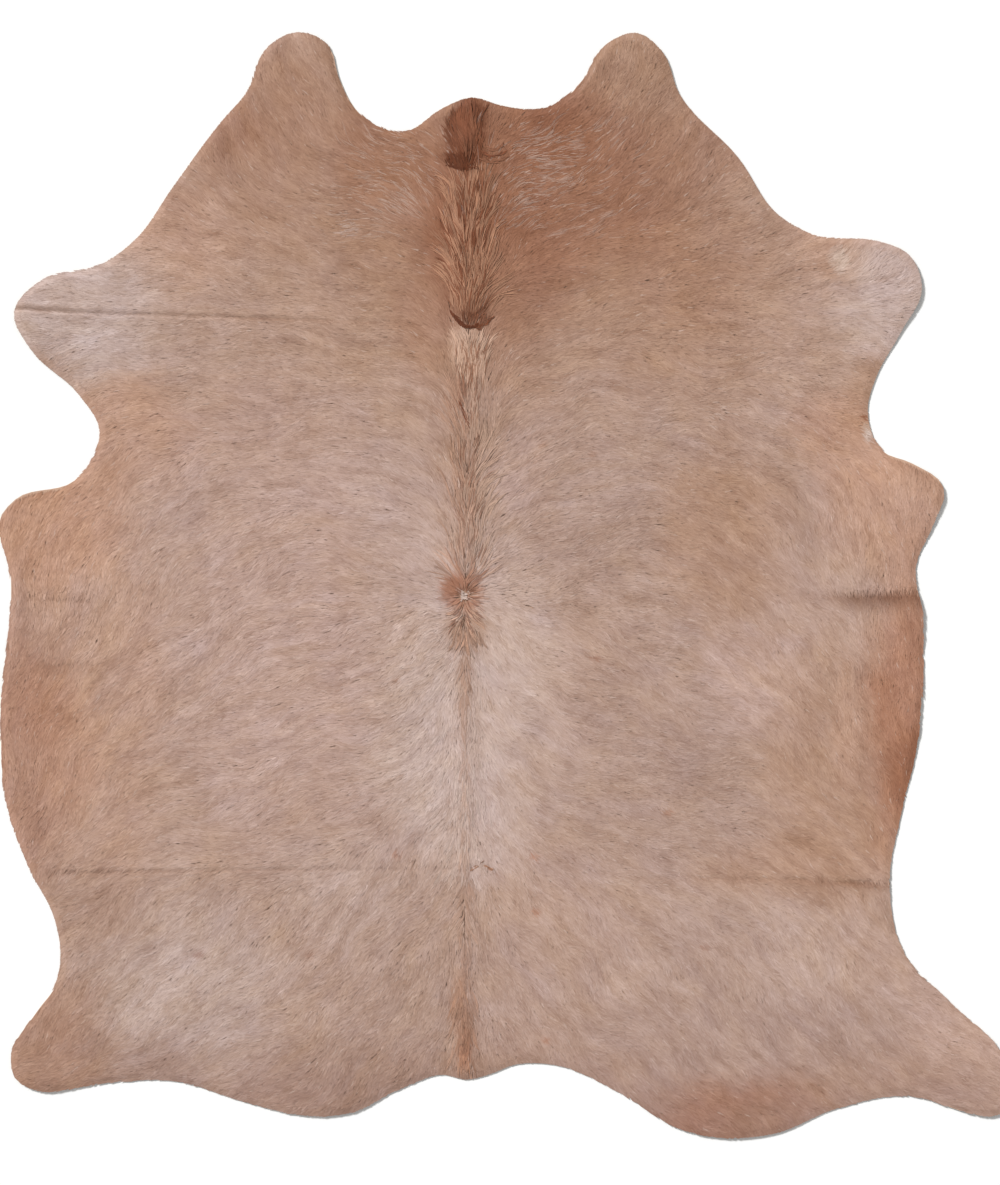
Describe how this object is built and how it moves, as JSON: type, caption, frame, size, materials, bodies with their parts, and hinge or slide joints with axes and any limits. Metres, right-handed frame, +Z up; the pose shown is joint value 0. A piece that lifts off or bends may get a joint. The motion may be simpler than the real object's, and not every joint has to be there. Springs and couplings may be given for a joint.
{
  "type": "hair-on cowhide rug",
  "caption": "Whole hair-on cowhide lying flat on the floor, with neck lobes, forelegs, hind shanks and fold marks left by packing, used as a rug or a throw",
  "frame": {"origin": "on the floor under the middle of the hide's outline", "axes": "+Y towards the neck along the backbone, +X to the right seen from the hair side, +Z up out of the coat"},
  "size_m": [2.0254, 2.2078, 0.0124],
  "materials": {
    "hair_on_leather": "short lying hair, champagne to tan, soft sheen"
  },
  "bodies": {
    "root": {"hide": "hair_on_leather"}
  },
  "joints": []
}
